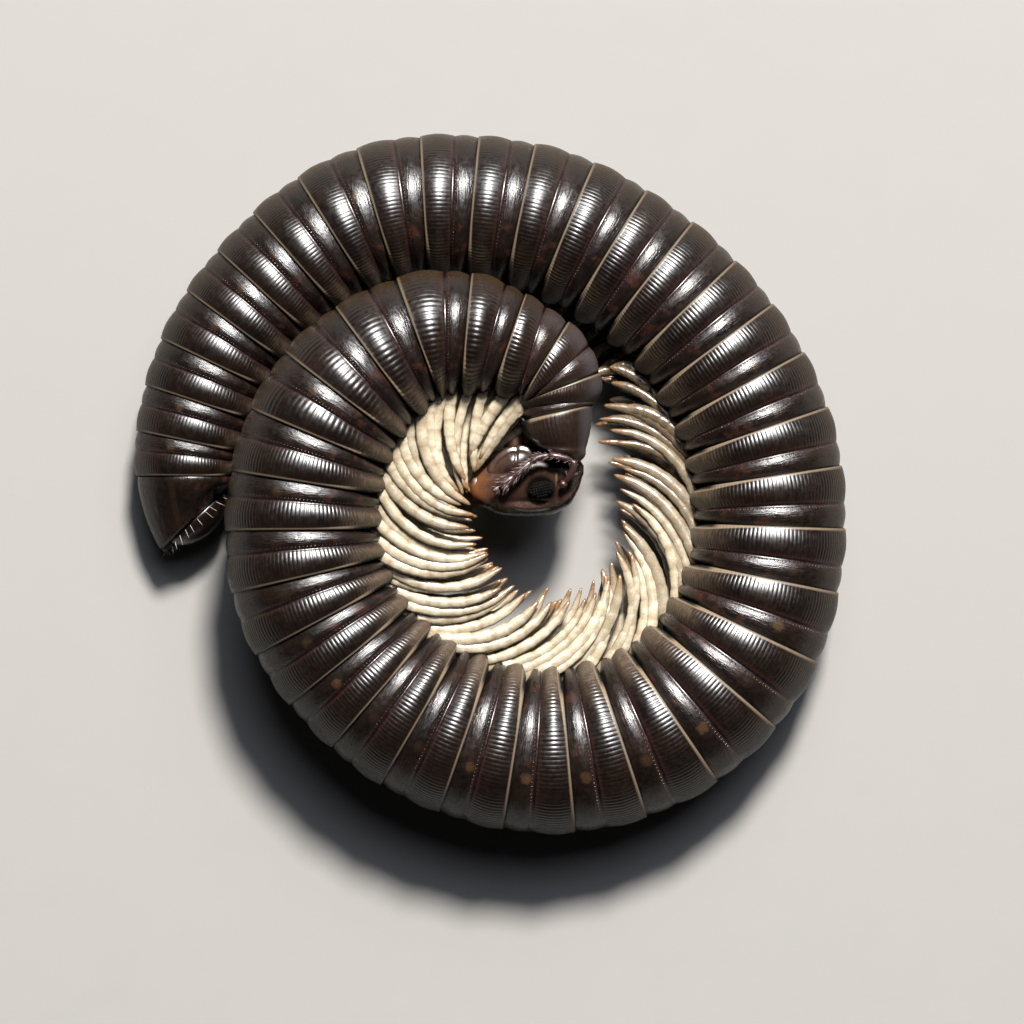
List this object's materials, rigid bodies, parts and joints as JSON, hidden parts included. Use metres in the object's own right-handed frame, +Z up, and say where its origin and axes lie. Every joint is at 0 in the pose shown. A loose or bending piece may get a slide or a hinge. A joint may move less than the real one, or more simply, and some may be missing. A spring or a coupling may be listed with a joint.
{
  "type": "white-legged snake millipede, life-size still model",
  "caption": "Glossy dark millipede lying on its side in a flat coil, pale legs folded inwards, head at the centre and the tail lying outside the front of the body.",
  "frame": {"origin": "centre of the box that holds the whole animal, on the surface that it lies on", "axes": "+Z up from that surface, +X and +Y to the right and to the top of the picture, seen from above"},
  "size_m": [0.0158, 0.0154, 0.0051],
  "materials": {
    "body_shell": "glossy brown-black shell rings with pale rear borders and fine lengthwise furrows",
    "head_shell": "glossy reddish brown head shell, paler at the mouth",
    "tail_shell": "glossy brown-black tail ring and valves with short bristles",
    "antenna": "purple-brown, finely bristled",
    "eye": "black, many small lenses",
    "leg": "cream white, slightly see-through, with orange-tan tips"
  },
  "bodies": {
    "root": {"head": "head_shell", "eye_right": "eye", "eye_left": "eye", "antenna_right": "antenna", "antenna_left": "antenna", "collum": "body_shell", "trunk_01": "body_shell", "trunk_02": "body_shell", "trunk_03": "body_shell", "trunk_04": "body_shell", "trunk_05": "body_shell", "trunk_06": "body_shell", "trunk_07": "body_shell", "trunk_08": "body_shell", "trunk_09": "body_shell", "trunk_10": "body_shell", "trunk_11": "body_shell", "tail": "tail_shell", "valve_right": "tail_shell", "valve_left": "tail_shell"}
  },
  "joints": []
}
